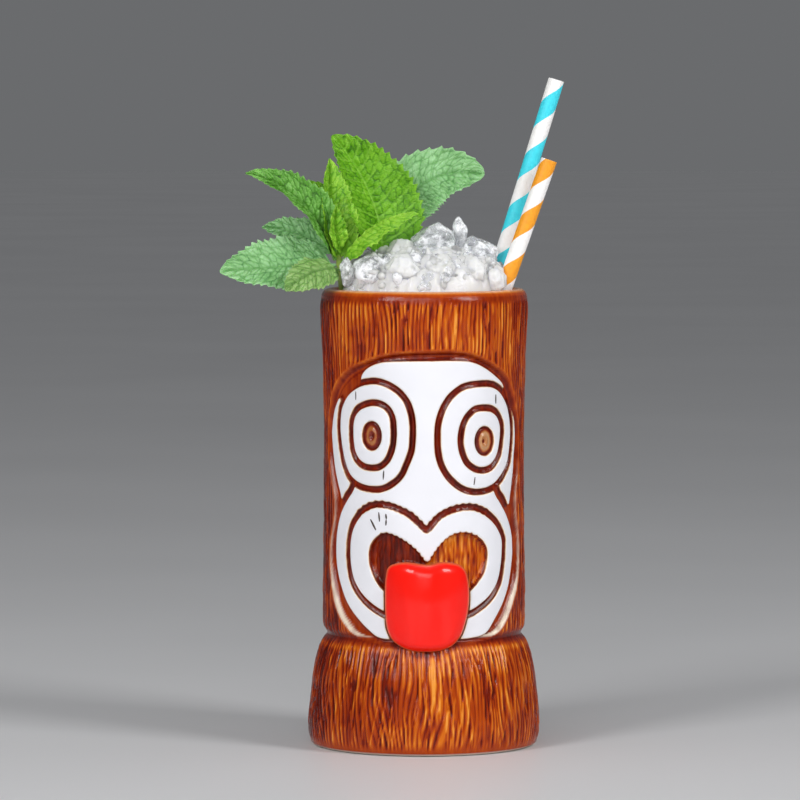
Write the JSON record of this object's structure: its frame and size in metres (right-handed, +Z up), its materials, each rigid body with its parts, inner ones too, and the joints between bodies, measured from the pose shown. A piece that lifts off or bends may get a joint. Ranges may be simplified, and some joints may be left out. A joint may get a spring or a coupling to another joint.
{
  "type": "tiki mug",
  "caption": "Tall ceramic tiki mug glazed as carved bark, with a white ringed-eye face and red tongue, packed with ice, mint and striped paper straws.",
  "frame": {"origin": "centre of the mug's flat foot, on the surface it stands on", "axes": "+Z up, the face looks along -Y, +X is the viewer's right"},
  "size_m": [0.1311, 0.0887, 0.2549],
  "materials": {
    "bark_glaze": "gloss",
    "white_glaze": "satin",
    "pupil_glaze": "gloss",
    "red_glaze": "gloss",
    "packed_ice": "gloss",
    "clear_ice": "polished",
    "blue_paper": "matte",
    "orange_paper": "matte",
    "mint_stem": "satin",
    "mint_leaf": "satin"
  },
  "bodies": {
    "mug": {"mug_body": "bark_glaze", "face_mask": "white_glaze", "lips": "white_glaze", "temple_left": "white_glaze", "temple_right": "white_glaze", "eye_ring_left": "white_glaze", "eye_ring_right": "white_glaze", "iris_left": "white_glaze", "iris_right": "white_glaze", "pupil_left": "pupil_glaze", "pupil_right": "pupil_glaze", "tongue": "red_glaze"},
    "ice": {"ice_pack": "packed_ice", "ice_front_left": "clear_ice", "ice_edge_left": "clear_ice", "ice_front": "packed_ice", "ice_front_middle": "packed_ice", "ice_front_right": "packed_ice", "ice_edge_right": "packed_ice", "ice_middle": "packed_ice", "ice_back": "packed_ice", "ice_back_left": "packed_ice", "ice_back_middle": "packed_ice", "ice_back_right": "packed_ice"},
    "loose_ice_crown": {"ice_loose_crown": "clear_ice"},
    "loose_ice_shard": {"ice_loose_shard": "clear_ice"},
    "loose_ice_right": {"ice_loose_right": "clear_ice"},
    "blue_straw": {"straw_blue": "blue_paper"},
    "orange_straw": {"straw_orange": "orange_paper"},
    "mint_bunch": {"mint_stem_left": "mint_stem", "mint_stem_right": "mint_stem", "mint_leaf_crown": "mint_leaf", "mint_leaf_right": "mint_leaf", "mint_leaf_back_tip": "mint_leaf", "mint_leaf_upper_left": "mint_leaf", "mint_leaf_lower_left": "mint_leaf", "mint_leaf_front_left": "mint_leaf", "mint_leaf_back_left": "mint_leaf", "mint_leaf_young_tall": "mint_leaf", "mint_leaf_young_small": "mint_leaf", "mint_leaf_front_right": "mint_leaf"}
  },
  "joints": [
    {"name": "ice_lift", "type": "slide", "parent": "mug", "child": "ice", "axis": [0, 0, 1], "range_m": [0, 0.07]},
    {"name": "blue_straw_pull", "type": "slide", "parent": "ice", "child": "blue_straw", "axis": [0.2924, 0, 0.9563], "range_m": [0, 0.2]},
    {"name": "orange_straw_pull", "type": "slide", "parent": "ice", "child": "orange_straw", "axis": [0.3305, 0, 0.9438], "range_m": [0, 0.2]},
    {"name": "mint_pull", "type": "slide", "parent": "ice", "child": "mint_bunch", "axis": [-0.083, -0.0311, 0.9961], "range_m": [0, 0.055]},
    {"name": "loose_ice_crown_lift", "type": "slide", "parent": "ice", "child": "loose_ice_crown", "axis": [0, 0, 1], "range_m": [0, 0.06]},
    {"name": "loose_ice_shard_lift", "type": "slide", "parent": "ice", "child": "loose_ice_shard", "axis": [0, 0, 1], "range_m": [0, 0.06]},
    {"name": "loose_ice_right_lift", "type": "slide", "parent": "ice", "child": "loose_ice_right", "axis": [0, 0, 1], "range_m": [0, 0.06]}
  ]
}
